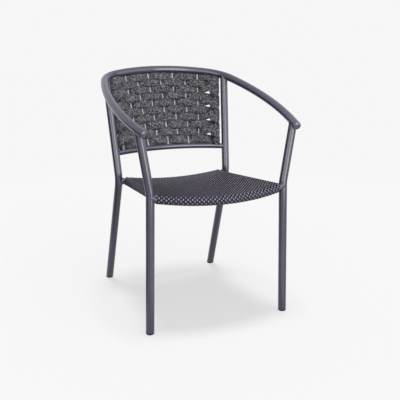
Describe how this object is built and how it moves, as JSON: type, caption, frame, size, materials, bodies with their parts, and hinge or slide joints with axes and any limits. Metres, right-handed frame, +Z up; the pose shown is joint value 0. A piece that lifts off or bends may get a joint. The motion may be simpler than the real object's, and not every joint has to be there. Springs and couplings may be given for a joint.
{
  "type": "stacking armchair",
  "caption": "Outdoor bistro armchair with a bent round tube frame, a laced rope strap back on slim rods and a woven strand seat wrapped round its ring.",
  "frame": {"origin": "on the floor, in the middle of the chair's outline seen from above", "axes": "+Z up; the chair faces -Y; +X is the sitter's left, and left and right in the node names are the sitter's"},
  "size_m": [0.561, 0.601, 0.7794],
  "materials": {
    "frame": "fine textured powder coat, satin",
    "glide": "moulded, matte",
    "strand": "extruded synthetic strand, low sheen",
    "strap": "flat braided melange rope, matte"
  },
  "bodies": {
    "root": {"top_rail": "frame", "arm_end_cap_left": "frame", "arm_end_cap_right": "frame", "front_leg_left": "frame", "front_leg_right": "frame", "rear_leg_left": "frame", "rear_leg_right": "frame", "foot_glide_front_left": "glide", "foot_glide_front_right": "glide", "foot_glide_rear_left": "glide", "foot_glide_rear_right": "glide", "seat_front_tube": "frame", "seat_rear_tube": "frame", "seat_side_tube_left": "frame", "seat_side_tube_right": "frame", "seat_weave": "strand", "back_crossbar": "frame", "back_post_left": "frame", "back_post_right": "frame", "back_rod_1": "frame", "back_rod_2": "frame", "back_rod_3": "frame", "back_rod_4": "frame", "back_rod_5": "frame", "back_rod_6": "frame", "back_rod_7": "frame", "back_strap": "strap"}
  },
  "joints": []
}
